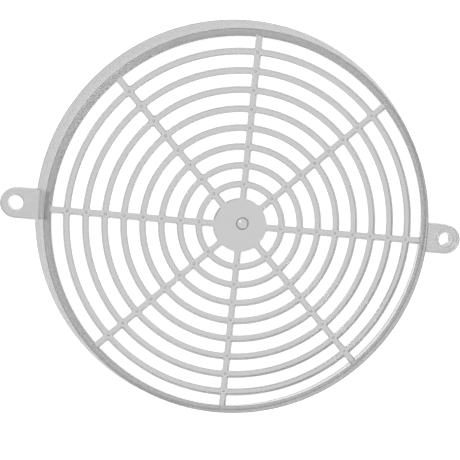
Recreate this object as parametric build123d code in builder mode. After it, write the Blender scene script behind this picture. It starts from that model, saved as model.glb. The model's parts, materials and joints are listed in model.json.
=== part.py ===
from build123d import *

import os
from math import atan, degrees

# Round guard that screws over a fan opening, moulded in one piece from clear plastic.
# Lengths are in millimetres. The guard lies on its mounting face at z = 0, its axis is Z,
# the grille faces up, and the two ears lie along X.

# Ears with the screw holes
hole_spacing = 180.0
screw_hole_diameter = 6.2
ear_width = 12.2
ear_thickness = 6.5
ear_edge_chamfer = 0.4

# Flared wall
base_diameter = 165.0
base_opening = 160.4
face_diameter = 155.4
face_opening = 149.2
rim_height = 18.6
front_edge_chamfer = 0.6

# Grille
guard_height = 19.0
ring_count = 8
spoke_count = 8
first_ring_radius = 16.7
ring_pitch = 7.45
rib_face_width = 2.8
rib_back_width = 1.7
rib_depth = 3.0
spoke_reach = 76.6
hub_diameter = 21.1

# Gate mark on the hub: a shallow dimple, steep on one side, with the nub of the gate in it
dimple_centre = (0.6, -0.5)
dimple_radius = 4.05
dimple_floor_radius = 2.6
dimple_depth = 0.6
gate_centre = (0.7, 0.9)
gate_radius = 2.2

# Worked out from the sizes above
base_radius = base_diameter / 2
base_opening_radius = base_opening / 2
face_radius = face_diameter / 2
face_opening_radius = face_opening / 2
rib_draft = degrees(atan((rib_face_width - rib_back_width) / 2 / rib_depth))
spoke_line = 2 * spoke_reach - rib_face_width
from_base = (Align.CENTER, Align.CENTER, Align.MIN)
front_plane = Plane.XY.offset(guard_height)
dimple_plane = Plane.XY.offset(guard_height - dimple_depth)


# Two spokes in line, from rim to rim through the middle: a slot outline with drafted sides,
# so that each end is round where it lies on the front of the rim
with BuildPart() as spoke_pair:
    with BuildSketch(front_plane):
        SlotCenterToCenter(spoke_line, rib_face_width)
    extrude(amount=-rib_depth, taper=rib_draft)


with BuildPart() as fan_guard:
    # Both ears are the two ends of one slot outline, with their front edges eased
    with BuildSketch():
        SlotCenterToCenter(hole_spacing, ear_width)
    extrude(amount=ear_thickness)
    chamfer(fan_guard.edges().group_by(Axis.Z)[-1], length=ear_edge_chamfer)

    # Outside of the flared wall, narrow at the front and wide at the mounting face
    Cone(base_radius, face_radius, rim_height, align=from_base)
    chamfer(fan_guard.edges().group_by(Axis.Z)[-1], length=front_edge_chamfer)

    # Room for the fan blades, open at the front until the grille goes in
    Cone(base_opening_radius, face_opening_radius, rim_height, align=from_base, mode=Mode.SUBTRACT)

    # Screw holes
    with GridLocations(hole_spacing, 0, 2, 1):
        Hole(screw_hole_diameter / 2)

    # Rings of the grille, wide at the front and narrow at the back
    with BuildSketch(Plane.XZ):
        for ring in range(ring_count):
            with Locations((first_ring_radius + ring * ring_pitch, guard_height)):
                Trapezoid(
                    rib_face_width,
                    rib_depth,
                    90 - rib_draft,
                    rotation=180,
                    align=(Align.CENTER, Align.MIN),
                )
    revolve(axis=Axis.Z)

    # Hub disc
    with BuildSketch(front_plane):
        Circle(hub_diameter / 2)
    extrude(amount=-rib_depth)

    # Spokes
    with PolarLocations(0, spoke_count // 2, angular_range=180):
        add(spoke_pair.part)

    # Dimple of the gate, and the nub that stands in it as high as the face of the hub
    with BuildSketch(front_plane):
        with Locations(dimple_centre):
            Circle(dimple_radius)
    with BuildSketch(dimple_plane):
        with Locations(gate_centre):
            Circle(dimple_floor_radius)
    loft(mode=Mode.SUBTRACT)
    with BuildSketch(dimple_plane):
        with Locations(gate_centre):
            Circle(gate_radius)
    extrude(amount=dimple_depth)

fan_guard.part.label = "fan_guard"

os.makedirs("parts", exist_ok=True)
export_step(fan_guard.part, "parts/fan_guard.step")
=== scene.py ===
import json
from math import atan2, cos, pi, radians, sin, sqrt, tan

import bmesh
import bpy
from mathutils import Matrix, Vector


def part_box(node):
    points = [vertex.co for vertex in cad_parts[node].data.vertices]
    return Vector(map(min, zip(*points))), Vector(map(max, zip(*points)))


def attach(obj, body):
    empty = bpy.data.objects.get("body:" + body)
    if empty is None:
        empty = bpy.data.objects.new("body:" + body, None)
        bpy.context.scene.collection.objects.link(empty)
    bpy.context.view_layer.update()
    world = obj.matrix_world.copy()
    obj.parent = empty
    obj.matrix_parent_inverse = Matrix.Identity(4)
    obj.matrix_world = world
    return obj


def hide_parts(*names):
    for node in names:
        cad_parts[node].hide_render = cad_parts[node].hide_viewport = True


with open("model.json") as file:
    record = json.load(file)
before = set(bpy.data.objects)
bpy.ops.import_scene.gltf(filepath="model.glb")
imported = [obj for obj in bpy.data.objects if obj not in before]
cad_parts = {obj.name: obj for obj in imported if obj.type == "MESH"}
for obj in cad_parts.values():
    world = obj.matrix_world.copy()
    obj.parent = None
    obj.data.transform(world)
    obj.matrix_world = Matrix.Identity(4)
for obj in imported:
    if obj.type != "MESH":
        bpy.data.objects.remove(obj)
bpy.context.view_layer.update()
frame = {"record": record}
scene = bpy.context.scene
scene.view_settings.view_transform = "Standard"

# The guard is measured in millimetres, and its vertices are made in metres.
mm = 0.001
guardSize = [(high - low) / mm for low, high in zip(*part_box("fan_guard"))]
screwHoles = next(m["dims"] for m in frame["record"]["mounts"] if m["name"] == "screw_holes")


def vertexRow(bm, points, z, turn=0.0):
    # points of a flat outline, turned about the axis of the guard and set at a height
    c, s = cos(turn), sin(turn)
    return [bm.verts.new(((x * c - y * s) * mm, (x * s + y * c) * mm, z * mm)) for x, y in points]


def joinRows(bm, one, other, closed=True):
    # quads between two rows of the same length
    for i in range(len(one) if closed else len(one) - 1):
        j = (i + 1) % len(one)
        bm.faces.new((one[i], one[j], other[j], other[i]))


def middleOf(row):
    return sum((v.co for v in row), Vector()) / len(row)


def fanFill(bm, row, tip=None):
    # triangles from an outline to a point, or to the outline's middle if none is given
    point = bm.verts.new(middleOf(row) if tip is None else tip)
    for i, vertex in enumerate(row):
        bm.faces.new((vertex, row[(i + 1) % len(row)], point))


def arc(centre, radius, start, end, steps):
    # points along an arc, with both its ends
    angles = [start + (end - start) * i / steps for i in range(steps + 1)]
    return [(centre[0] + radius * cos(a), centre[1] + radius * sin(a)) for a in angles]


def quarterRound(radius, steps):
    # how far an edge has gone in from the side and down from the face, starting at the face
    angles = [pi / 2 * i / steps for i in range(steps + 1)]
    return [(radius * (1 - sin(a)), radius * (1 - cos(a))) for a in angles]


def pieceFrom(bm, name):
    # puts a finished mesh into the scene as an object
    bmesh.ops.recalc_face_normals(bm, faces=bm.faces)
    mesh = bpy.data.meshes.new(name)
    bm.to_mesh(mesh)
    bm.free()
    piece = bpy.data.objects.new(name, mesh)
    scene.collection.objects.link(piece)
    print(name, "made,", len(mesh.polygons), "faces")
    return piece


# Grille: rings, spokes and hub as one plate, flush at the front, with drafted sides
grille = {
    "front": guardSize[2],
    "depth": 3.0,
    "ribFront": 2.8,  # rings and spokes are this wide at the front
    "ribBack": 1.7,  # and this wide at the back, from the draft of the mould
    "firstRing": 16.7,
    "ringPitch": 7.45,
    "ringCount": 8,
    "spokeCount": 8,
    "spokeReach": 76.6,  # the spokes end on the front of the wall
    "hubRadius": 10.55,
    "hubFlare": 0.3,  # the radius of the hub grows by this much towards its back
    "frontRound": 0.31,
    "backRound": 0.1,
    "cornerRound": 0.45,  # in the corners of every opening, at the front
    "hubCornerRound": 0.9,
    "facetLength": 1.2,
    "leastFacets": 8,
    "edgeSteps": 4,
    "cornerSteps": 4,
    "endSteps": 12,
}

# Gate mark: a shallow dimple in the hub, and in it the domed nub of the gate in a steep narrow groove
gateMark = {
    "dimpleCentre": (0.6, -0.5),
    "dimpleRadius": 4.05,
    "nubCentre": (0.7, 0.9),
    "grooveOuter": 2.6,
    "grooveFloor": 2.27,
    "nubRadius": 2.0,
    "dimpleDepth": 0.25,
    "grooveDepth": 1.25,
    "domeRise": 0.45,
    "domeSteps": 8,
}

# Pin marks: small pointed pits in the back of every crossing, where the mould's pins push
pinMark = {
    "radius": 0.55,
    "depth": 0.75,
}


def ribLevels():
    # height, half width of a rib and what the rounding takes off, from front to back
    frontRound = quarterRound(grille["frontRound"], grille["edgeSteps"])
    backRound = quarterRound(grille["backRound"], grille["edgeSteps"])
    depths = [(down, inset) for inset, down in frontRound]
    depths += [(grille["depth"] - down, inset) for inset, down in reversed(backRound)]
    draft = (grille["ribFront"] - grille["ribBack"]) / 2 / grille["depth"]
    halfFront = grille["ribFront"] / 2
    return [(grille["front"] - depth, halfFront - draft * depth - inset, inset) for depth, inset in depths]


def cornerBesideSpoke(radius, half, corner, side):
    # rounded corner between the spoke along X and an arc round the axis, from the spoke to the arc.
    # The opening lies inside the arc where side is -1, and outside it where side is 1.
    y = half + corner
    x = sqrt((radius + side * corner) ** 2 - y**2)
    towardsArc = atan2(y, x) - (pi if side > 0 else 0)
    return arc((x, y), corner, -pi / 2, towardsArc, grille["cornerSteps"])


def acrossSector(points):
    # the same points beside the next spoke, in the opposite order
    sector = 2 * pi / grille["spokeCount"]
    c, s = cos(sector), sin(sector)
    return [(x * c + y * s, x * s - y * c) for x, y in reversed(points)]


def arcBetween(start, end, steps):
    # the points between two points of an arc round the axis
    first, last = atan2(start[1], start[0]), atan2(end[1], end[0])
    return arc((0, 0), sqrt(start[0] ** 2 + start[1] ** 2), first, last, steps)[1:-1]


def facetsOn(radius):
    sectorLength = radius * 2 * pi / grille["spokeCount"]
    return max(grille["leastFacets"], round(sectorLength / grille["facetLength"]))


def openingOutline(gap, half, inset):
    # outline of the opening in one gap between rings, anticlockwise, as runs with names. The last gap
    # is the outside of the last ring, and has the end of the spoke in place of its outer side.
    ringRadii = [grille["firstRing"] + grille["ringPitch"] * i for i in range(grille["ringCount"])]
    corner = grille["cornerRound"] + grille["ribFront"] / 2 - half
    if gap == 0:
        drafted = grille["ribFront"] / 2 - inset - half
        flare = grille["hubFlare"] * drafted / ((grille["ribFront"] - grille["ribBack"]) / 2)
        inner, innerFacets = grille["hubRadius"] + flare - inset, facetsOn(grille["hubRadius"])
        innerCorner = grille["hubCornerRound"]
    else:
        inner, innerFacets = ringRadii[gap - 1] + half, facetsOn(ringRadii[gap - 1])
        innerCorner = corner
    inLow = cornerBesideSpoke(inner, half, innerCorner, 1)[::-1]
    inHigh = acrossSector(inLow)
    runs = {"inHigh": inHigh, "inArc": arcBetween(inHigh[-1], inLow[0], innerFacets), "inLow": inLow}
    if gap == grille["ringCount"]:
        endCentre = (grille["spokeReach"] - grille["ribFront"] / 2, 0)
        return {"end": arc(endCentre, half, -pi / 2, pi / 2, grille["endSteps"]), **runs}
    outLow = cornerBesideSpoke(ringRadii[gap] - half, half, corner, -1)
    outHigh = acrossSector(outLow)
    outArc = arcBetween(outLow[-1], outHigh[0], facetsOn(ringRadii[gap]))
    return {"outLow": outLow, "outArc": outArc, "outHigh": outHigh, **runs}


def fillPinMark(bm, row):
    # flat back of a crossing with a pointed round pit in it
    middle = middleOf(row)
    circle = [bm.verts.new(middle + (v.co - middle).normalized() * pinMark["radius"] * mm) for v in row]
    joinRows(bm, row, circle)
    fanFill(bm, circle, middle + Vector((0, 0, pinMark["depth"] * mm)))


def fillGrilleFace(bm, openings, fillCrossing):
    # flat front or back of the rings, crossings and spokes. Gives the outline of the hub.
    hub = []
    for spoke in range(grille["spokeCount"]):
        before = (spoke - 1) % grille["spokeCount"]
        for ring in range(grille["ringCount"]):
            inside, outside = openings[ring, spoke], openings[ring + 1, spoke]
            insideBefore, outsideBefore = openings[ring, before], openings[ring + 1, before]
            ringInner = [inside["outLow"][-1], *inside["outArc"], inside["outHigh"][0]]
            ringOuter = [outside["inLow"][0], *outside["inArc"][::-1], outside["inHigh"][-1]]
            joinRows(bm, ringInner, ringOuter, closed=False)
            fillCrossing(
                bm,
                outside["inLow"][::-1]
                + inside["outLow"][::-1]
                + insideBefore["outHigh"][::-1]
                + outsideBefore["inHigh"][::-1],
            )
            bm.faces.new(
                (
                    inside["inLow"][-1],
                    inside["outLow"][0],
                    insideBefore["outHigh"][-1],
                    insideBefore["inHigh"][0],
                )
            )
        end = openings[grille["ringCount"], spoke]
        endBefore = openings[grille["ringCount"], before]
        bm.faces.new([endBefore["inHigh"][0], *end["end"], end["inLow"][-1]])
        hubSide = openings[0, spoke]
        hub += hubSide["inLow"][::-1] + hubSide["inArc"][::-1] + hubSide["inHigh"][::-1]
    return hub


def fillHubFront(bm, hub):
    # the face of the hub with the gate mark, as rings of vertices that close in on the nub
    top, nub = grille["front"], gateMark["nubCentre"]
    rings = [
        (gateMark["dimpleCentre"], gateMark["dimpleRadius"], top),
        (nub, gateMark["grooveOuter"], top - gateMark["dimpleDepth"]),
        (nub, gateMark["grooveFloor"], top - gateMark["grooveDepth"]),
    ]
    for i in range(gateMark["domeSteps"]):
        share = 1 - i / gateMark["domeSteps"]
        rings.append((nub, gateMark["nubRadius"] * share, top - gateMark["domeRise"] * share**2))
    start = atan2(hub[0].co.y, hub[0].co.x)
    row = hub
    for centre, radius, z in rings:
        circle = vertexRow(bm, arc(centre, radius, start, start + 2 * pi, len(hub))[:-1], z)
        joinRows(bm, row, circle)
        row = circle
    fanFill(bm, row)


def makeGrille():
    bm = bmesh.new()
    sector = 2 * pi / grille["spokeCount"]
    gaps = range(grille["ringCount"] + 1)
    spokes = range(grille["spokeCount"])
    levels = []
    before = None
    for z, half, inset in ribLevels():
        level = {}
        for gap in gaps:
            outline = openingOutline(gap, half, inset)
            for spoke in spokes:
                level[gap, spoke] = {
                    name: vertexRow(bm, points, z, sector * spoke) for name, points in outline.items()
                }
        edge = []
        for spoke in spokes:
            side = level[grille["ringCount"], spoke]
            edge += side["end"] + side["inLow"][::-1] + side["inArc"][::-1] + side["inHigh"][::-1]
        loops = [edge]
        loops += [sum(level[gap, spoke].values(), []) for gap in gaps[:-1] for spoke in spokes]
        if before:
            for upper, lower in zip(before, loops):
                joinRows(bm, upper, lower)
        before = loops
        levels.append(level)
    fillHubFront(bm, fillGrilleFace(bm, levels[0], fanFill))
    fanFill(bm, fillGrilleFace(bm, levels[-1], fillPinMark))
    return pieceFrom(bm, "grille")


# Flared wall: narrow at the front, wide at the mounting face
wall = {
    "height": 18.6,
    "baseOutside": guardSize[1] / 2,
    "baseInside": 80.2,
    "frontOutside": 77.7,
    "frontInside": 74.6,
    "baseRound": 0.2,
    "frontOuterRound": 0.6,
    "frontInnerRound": 0.25,
    "roundSteps": 4,
    "segments": 288,
}


def roundedOutline(corners, steps):
    # closed outline with each corner (x, y, radius) rounded
    points = []
    for i, (x, y, radius) in enumerate(corners):
        here = Vector((x, y))
        toBefore = (Vector(corners[i - 1][:2]) - here).normalized()
        toAfter = (Vector(corners[(i + 1) % len(corners)][:2]) - here).normalized()
        halfAngle = toBefore.angle(toAfter) / 2
        centre = here + (toBefore + toAfter).normalized() * radius / sin(halfAngle)
        first = here + toBefore * radius / tan(halfAngle) - centre
        swing = (pi - 2 * halfAngle) * (1 if toBefore.cross(toAfter) < 0 else -1)
        points += [centre + Matrix.Rotation(swing * j / steps, 2) @ first for j in range(steps + 1)]
    return points


def makeWall():
    bm = bmesh.new()
    section = roundedOutline(
        [
            (wall["baseInside"], 0, wall["baseRound"]),
            (wall["baseOutside"], 0, wall["baseRound"]),
            (wall["frontOutside"], wall["height"], wall["frontOuterRound"]),
            (wall["frontInside"], wall["height"], wall["frontInnerRound"]),
        ],
        wall["roundSteps"],
    )
    rows = []
    for i in range(wall["segments"]):
        turn = 2 * pi * i / wall["segments"]
        rows.append([bm.verts.new((r * cos(turn) * mm, r * sin(turn) * mm, z * mm)) for r, z in section])
    for i, row in enumerate(rows):
        joinRows(bm, row, rows[(i + 1) % len(rows)])
    return pieceFrom(bm, "wall")


# Ears with the screw holes
ear = {
    "holeCentre": screwHoles["spacing_x_mm"] / 2,
    "holeRadius": screwHoles["hole_r_mm"],
    "halfWidth": 6.1,
    "thickness": 6.5,
    "innerEnd": 80.5,  # inside the wall at every height of the ear
    "frontRound": 0.4,
    "backRound": 0.12,
    "roundSteps": 4,
    "endSteps": 32,
    "sideSteps": 6,
    "innerSteps": 12,
}


def earOutline(inset):
    # the ear's outline and the hole's, with as many points each
    half, x = ear["halfWidth"] - inset, ear["holeCentre"]
    innerAngle = atan2(half, sqrt(ear["innerEnd"] ** 2 - half**2))
    innerArc = arc((0, 0), ear["innerEnd"], innerAngle, -innerAngle, ear["innerSteps"])
    sideEnd = innerArc[0][0]
    sideSteps = ear["sideSteps"]
    side = [(x + (sideEnd - x) * i / sideSteps, half) for i in range(1, sideSteps)]
    outer = arc((x, 0), half, -pi / 2, pi / 2, ear["endSteps"]) + side + innerArc
    outer += [(px, -py) for px, py in reversed(side)]
    holeRadius = ear["holeRadius"] + inset
    hole = arc((x, 0), holeRadius, -pi / 2, pi / 2, ear["endSteps"])
    hole += arc((x, 0), holeRadius, pi / 2, 3 * pi / 2, len(outer) - ear["endSteps"])[1:-1]
    return outer, hole


def makeEars():
    bm = bmesh.new()
    backRound = quarterRound(ear["backRound"], ear["roundSteps"])
    frontRound = quarterRound(ear["frontRound"], ear["roundSteps"])
    levels = [(down, inset) for inset, down in backRound]
    levels += [(ear["thickness"] - down, inset) for inset, down in reversed(frontRound)]
    for turn in (0, pi):
        rows = []
        for z, inset in levels:
            outer, hole = earOutline(inset)
            rows.append((vertexRow(bm, outer, z, turn), vertexRow(bm, hole, z, turn)))
        for (outer, hole), (outerAbove, holeAbove) in zip(rows, rows[1:]):
            joinRows(bm, outer, outerAbove)
            joinRows(bm, hole, holeAbove)
        joinRows(bm, *rows[0])
        joinRows(bm, *rows[-1])
    return pieceFrom(bm, "ears")


# Joining and shading of the whole moulding
finish = {
    "smoothUpTo": radians(34),  # edges that turn by more than this stay sharp
    "mergeWithin": 0.002,
    "largeFaceWeight": 100,  # normals lean towards the large faces, and 50 would be neutral
}


def makeGuard():
    # one moulding from its three forms
    body, *others = makeWall(), makeEars(), makeGrille()
    for other in others:
        union = body.modifiers.new("union", "BOOLEAN")
        union.operation = "UNION"
        union.solver = "MANIFOLD"
        union.object = other
    mesh = bpy.data.meshes.new_from_object(body.evaluated_get(bpy.context.evaluated_depsgraph_get()))
    for old in (body, *others):
        bpy.data.objects.remove(old)
    bm = bmesh.new()
    bm.from_mesh(mesh)
    bmesh.ops.remove_doubles(bm, verts=bm.verts, dist=finish["mergeWithin"] * mm)
    bmesh.ops.dissolve_degenerate(bm, edges=bm.edges, dist=finish["mergeWithin"] * mm)
    openEdges = sum(1 for edge in bm.edges if not edge.is_manifold)
    triangles = sum(len(face.verts) - 2 for face in bm.faces)
    millilitres = round(bm.calc_volume() / (10 * mm) ** 3, 2)
    print("guard joined:", triangles, "triangles,", openEdges, "open edges,", millilitres, "ml")
    bm.to_mesh(mesh)
    bm.free()
    mesh.polygons.foreach_set("use_smooth", [True] * len(mesh.polygons))
    mesh.set_sharp_from_angle(angle=finish["smoothUpTo"])
    guard = bpy.data.objects.new("moulded_guard", mesh)
    scene.collection.objects.link(guard)
    weighted = guard.modifiers.new("flat faces stay flat", "WEIGHTED_NORMAL")
    weighted.keep_sharp = True
    weighted.weight = finish["largeFaceWeight"]
    return guard


def linearColour(hexCode):
    # sRGB hex to the linear values of a colour socket
    parts = [int(hexCode[i : i + 2], 16) / 255 for i in (1, 3, 5)]
    return [c / 12.92 if c <= 0.04045 else ((c + 0.055) / 1.055) ** 2.4 for c in parts] + [1.0]


def addNode(tree, kind, inputs=None, **settings):
    # a node with its settings, its values and its links; inputs are sockets or values by name
    made = tree.nodes.new(kind)
    for name, value in settings.items():
        setattr(made, name, value)
    for name, value in (inputs or {}).items():
        if isinstance(value, bpy.types.NodeSocket):
            tree.links.new(value, made.inputs[name])
        else:
            made.inputs[name].default_value = value
    return made


def emptyMaterial(name):
    # a new material, and its node tree, which is empty
    material = bpy.data.materials.new(name)
    material.use_nodes = True
    material.node_tree.nodes.clear()
    return material, material.node_tree


# Clear plastic, with the lengths of its textures in millimetres
clearPlastic = {
    "tint": "#D4D3D4",
    "ior": 1.585,
    "roughness": (0.03, 0.07),
    "roughnessSpread": (0.3, 0.7),  # values of the flow's noise that give the least and most roughness
    "absorbColour": "#E5E4E5",
    "absorbPerMetre": 70.0,
    "flowLength": 2.6,  # waves left by the flow of the melt
    "flowHeight": 0.03,
    "flowDetail": 2.0,
    "polishGrain": 0.8,  # fine marks of the mould's polish, drawn coarser than they are
    "polishHeight": 0.01,
    "polishDetail": 3.0,
    "turnedPitch": 0.5,  # marks of the lathe that turned the mould, which run round every wall
    "turnedLength": 14.0,
    "turnedHeight": 0.04,
    "turnedDetail": 1.0,
    "satinRadii": (77.75, 82.6),  # between these distances from the axis the wall is satin
    "satinRoughness": 0.26,
}


def clearMouldedPolycarbonate():
    # Clear polycarbonate, injection moulded against turned and polished steel. It is as clear as glass
    # with a faint grey tint, glossy, and slightly wavy from the flow of the melt and the marks of the
    # lathe. The wall, at its outside and low down inside, is satin, which softens what shows through it.
    p = clearPlastic
    material, tree = emptyMaterial("clear injection-moulded polycarbonate")
    where = addNode(tree, "ShaderNodeTexCoord").outputs["Object"]
    flow = addNode(
        tree,
        "ShaderNodeTexNoise",
        {"Vector": where, "Scale": 1 / (p["flowLength"] * mm), "Detail": p["flowDetail"]},
    )
    grain = addNode(
        tree,
        "ShaderNodeTexNoise",
        {"Vector": where, "Scale": 1 / (p["polishGrain"] * mm), "Detail": p["polishDetail"]},
    )
    along, across = 1 / (p["turnedLength"] * mm), 1 / (p["turnedPitch"] * mm)
    stretched = addNode(tree, "ShaderNodeMapping", {"Vector": where, "Scale": (along, along, across)})
    turned = addNode(
        tree,
        "ShaderNodeTexNoise",
        {"Vector": stretched.outputs["Vector"], "Scale": 1.0, "Detail": p["turnedDetail"]},
    )
    glossy = addNode(
        tree,
        "ShaderNodeMapRange",
        {
            "Value": flow.outputs["Fac"],
            "From Min": p["roughnessSpread"][0],
            "From Max": p["roughnessSpread"][1],
            "To Min": p["roughness"][0],
            "To Max": p["roughness"][1],
        },
    )
    level = addNode(tree, "ShaderNodeVectorMath", {0: where, 1: (1, 1, 0)}, operation="MULTIPLY")
    fromAxis = addNode(tree, "ShaderNodeVectorMath", {0: level.outputs[0]}, operation="LENGTH")
    inner, outer = (radius * mm for radius in p["satinRadii"])
    onWall = addNode(
        tree,
        "ShaderNodeMath",
        {0: fromAxis.outputs["Value"], 1: (inner + outer) / 2, 2: (outer - inner) / 2},
        operation="COMPARE",
    )
    satin = addNode(
        tree, "ShaderNodeMath", {0: onWall.outputs[0], 1: p["satinRoughness"]}, operation="MULTIPLY"
    )
    roughness = addNode(
        tree, "ShaderNodeMath", {0: glossy.outputs["Result"], 1: satin.outputs[0]}, operation="MAXIMUM"
    )
    under = {}
    for noise, height in ((flow, "flowHeight"), (grain, "polishHeight"), (turned, "turnedHeight")):
        bump = addNode(
            tree,
            "ShaderNodeBump",
            {"Height": noise.outputs["Fac"], "Strength": 1.0, "Distance": p[height] * mm, **under},
        )
        under = {"Normal": bump.outputs["Normal"]}
    shader = addNode(
        tree,
        "ShaderNodeBsdfPrincipled",
        {
            "Base Color": linearColour(p["tint"]),
            "Transmission Weight": 1.0,
            "IOR": p["ior"],
            "Roughness": roughness.outputs[0],
            **under,
        },
    )
    inside = addNode(
        tree,
        "ShaderNodeVolumeAbsorption",
        {"Color": linearColour(p["absorbColour"]), "Density": p["absorbPerMetre"]},
    )
    addNode(
        tree,
        "ShaderNodeOutputMaterial",
        {"Surface": shader.outputs["BSDF"], "Volume": inside.outputs["Volume"]},
    )
    return material


guard = makeGuard()
guard.data.materials.clear()
guard.data.materials.append(clearMouldedPolycarbonate())
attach(guard, "root")
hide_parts("fan_guard")
print("guard made")

# Floor: a sweep of paper that is white to the camera and keeps the shadow of the guard. Rays that the
# plastic mirrors or lets through pass it, and see the lit sweep that is part of the room.
floor = {
    "halfSize": 4.0,
    "colour": "#C8C8C8",
    "lift": 0.8,  # light of its own, so that the sweep reads as white where nothing shades it
}


def makeFloor():
    bm = bmesh.new()
    bmesh.ops.create_grid(bm, x_segments=1, y_segments=1, size=floor["halfSize"])
    sweep = pieceFrom(bm, "sweep")
    material, tree = emptyMaterial("matt white paper")
    matt = addNode(tree, "ShaderNodeBsdfDiffuse", {"Color": linearColour(floor["colour"])})
    rays = addNode(tree, "ShaderNodeLightPath")
    lift = addNode(
        tree, "ShaderNodeMath", {0: rays.outputs["Is Camera Ray"], 1: floor["lift"]}, operation="MULTIPLY"
    )
    glow = addNode(tree, "ShaderNodeEmission", {"Strength": lift.outputs[0]})
    both = addNode(tree, "ShaderNodeAddShader", {0: matt.outputs[0], 1: glow.outputs[0]})
    mirrored, through = rays.outputs["Is Glossy Ray"], rays.outputs["Is Transmission Ray"]
    fromPlastic = addNode(tree, "ShaderNodeMath", {0: mirrored, 1: through}, operation="MAXIMUM")
    clear = addNode(tree, "ShaderNodeBsdfTransparent")
    mixed = addNode(
        tree, "ShaderNodeMixShader", {0: fromPlastic.outputs[0], 1: both.outputs[0], 2: clear.outputs[0]}
    )
    addNode(tree, "ShaderNodeOutputMaterial", {"Surface": mixed.outputs[0]})
    sweep.data.materials.append(material)


# Room: the lit sweep fills the view behind the guard, the sides of the room beyond it are darker, and
# they draw the dark lines along clear edges. Overhead there is one wide soft light.
room = {
    "sweep": "#F9F9F9",
    "sweepReach": radians(54.3),  # from straight down
    "sweepBlur": radians(5.7),
    "sides": "#959396",
    "overhead": "#E8E8E8",
    "overheadFrom": -0.4,  # heights on a ball of radius 1 round the guard, where it fades in
    "overheadFull": -0.05,
}


def makeRoom():
    world = bpy.data.worlds.new("studio")
    scene.world = world
    world.use_nodes = True
    tree = world.node_tree
    tree.nodes.clear()
    way = addNode(tree, "ShaderNodeTexCoord").outputs["Generated"]
    height = addNode(tree, "ShaderNodeSeparateXYZ", {"Vector": way}).outputs["Z"]
    sides = addNode(tree, "ShaderNodeBackground", {"Color": linearColour(room["sides"])})
    sweep = addNode(tree, "ShaderNodeBackground", {"Color": linearColour(room["sweep"])})
    sweepShare = addNode(
        tree,
        "ShaderNodeMapRange",
        {
            "Value": height,
            "From Min": -cos(room["sweepReach"] - room["sweepBlur"]),
            "From Max": -cos(room["sweepReach"] + room["sweepBlur"]),
            "To Min": 1.0,
            "To Max": 0.0,
        },
    )
    below = addNode(
        tree, "ShaderNodeMixShader", {0: sweepShare.outputs[0], 1: sides.outputs[0], 2: sweep.outputs[0]}
    )
    overhead = addNode(tree, "ShaderNodeBackground", {"Color": linearColour(room["overhead"])})
    overheadShare = addNode(
        tree,
        "ShaderNodeMapRange",
        {"Value": height, "From Min": room["overheadFrom"], "From Max": room["overheadFull"]},
    )
    light = addNode(
        tree,
        "ShaderNodeMixShader",
        {0: overheadShare.outputs[0], 1: below.outputs[0], 2: overhead.outputs[0]},
    )
    white = addNode(tree, "ShaderNodeBackground", {"Color": (1, 1, 1, 1)})
    seen = addNode(tree, "ShaderNodeLightPath").outputs["Is Camera Ray"]
    mixed = addNode(tree, "ShaderNodeMixShader", {0: seen, 1: light.outputs[0], 2: white.outputs[0]})
    addNode(tree, "ShaderNodeOutputWorld", {"Surface": mixed.outputs[0]})


# One small lamp at the upper left adds a little light and a faint shadow
softbox = {
    "place": (-0.36, 0.27, 1.1),
    "size": 0.3,
    "watts": 2.0,
}


def makeSoftbox():
    light = bpy.data.lights.new("softbox", "AREA")
    light.shape = "SQUARE"
    light.size = softbox["size"]
    light.energy = softbox["watts"]
    lamp = bpy.data.objects.new("softbox", light)
    lamp.location = softbox["place"]
    lamp.rotation_euler = (-Vector(softbox["place"])).to_track_quat("-Z", "Y").to_euler()
    scene.collection.objects.link(lamp)


# Camera, found from the circles of the guard in the picture
view = {
    "place": (-0.05316, 0.04562, 0.4036),
    "lookAt": (-0.00282, -0.00323, 0.0095),
    "upTurn": radians(5.7),  # the picture's up is +Y turned by this about Z
    "lens": 76.42,
    "sensorWidth": 36.0,
}


def makeCamera():
    lens = bpy.data.cameras.new("camera")
    lens.lens = view["lens"]
    lens.sensor_width = view["sensorWidth"]
    camera = bpy.data.objects.new("camera", lens)
    backwards = (Vector(view["place"]) - Vector(view["lookAt"])).normalized()
    up = Vector((-sin(view["upTurn"]), cos(view["upTurn"]), 0))
    right = up.cross(backwards).normalized()
    turn = Matrix((right, backwards.cross(right), backwards)).transposed()
    camera.matrix_world = Matrix.Translation(view["place"]) @ turn.to_4x4()
    scene.collection.objects.link(camera)
    scene.camera = camera


# A ray passes many faces of the clear plastic before it leaves the guard
bounces = {
    "all": 32,
    "through": 32,
    "mirrored": 16,
}


def setBounces():
    scene.cycles.max_bounces = bounces["all"]
    scene.cycles.transmission_bounces = bounces["through"]
    scene.cycles.glossy_bounces = bounces["mirrored"]


makeFloor()
makeRoom()
makeSoftbox()
makeCamera()
setBounces()
print("floor, room, lamp and camera made")
